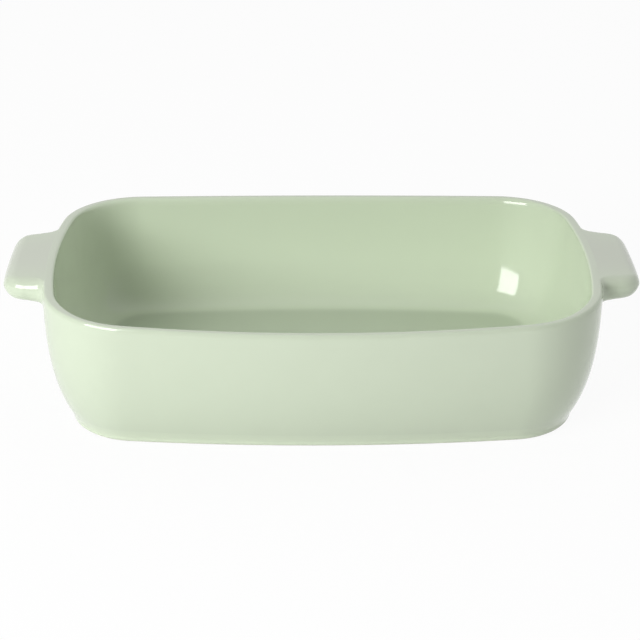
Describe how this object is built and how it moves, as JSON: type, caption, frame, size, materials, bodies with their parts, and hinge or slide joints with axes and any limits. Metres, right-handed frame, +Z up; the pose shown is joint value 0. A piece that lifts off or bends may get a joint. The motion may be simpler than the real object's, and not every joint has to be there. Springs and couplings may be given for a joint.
{
  "type": "baking dish",
  "caption": "Deep rectangular stoneware baking dish with bowed sides, a dipping rounded rim, a lug handle on each end and a foot ring, glossy pale green glaze",
  "frame": {"origin": "on the table under the middle of the dish", "axes": "+X along the dish through both handles, +Y across it, +Z up"},
  "size_m": [0.4024, 0.2316, 0.0884],
  "materials": {
    "glaze": "glossy pale sage green glaze",
    "bare_clay": "smooth, thinly glazed, wiped on the standing face"
  },
  "bodies": {
    "root": {"dish_body": "glaze", "foot_ring": "bare_clay", "handle_left": "glaze", "handle_right": "glaze"}
  },
  "joints": []
}
